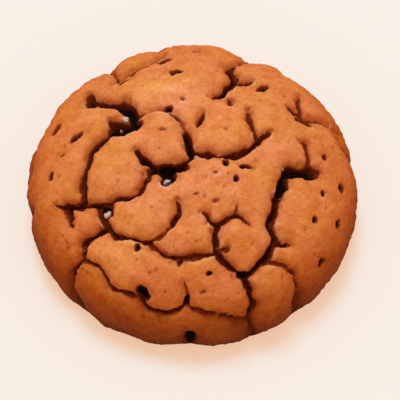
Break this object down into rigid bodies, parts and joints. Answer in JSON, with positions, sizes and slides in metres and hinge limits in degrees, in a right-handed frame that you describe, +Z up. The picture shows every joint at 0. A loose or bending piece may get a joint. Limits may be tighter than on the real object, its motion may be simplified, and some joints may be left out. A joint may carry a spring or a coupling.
{
  "type": "ginger cookie",
  "caption": "Round domed ginger cookie with a flat underside and a browned crust split into pillowy plates by dark cracks.",
  "frame": {"origin": "middle of the flat underside", "axes": "+Z up out of the crust, -Y towards the front of the cookie, +X to its right seen from the front"},
  "size_m": [0.0699, 0.07, 0.0269],
  "materials": {
    "crust": "dry baked dough, orange-brown and slightly grainy, dark brown in the cracks and round the foot"
  },
  "bodies": {
    "root": {"cookie": "crust"}
  },
  "joints": []
}
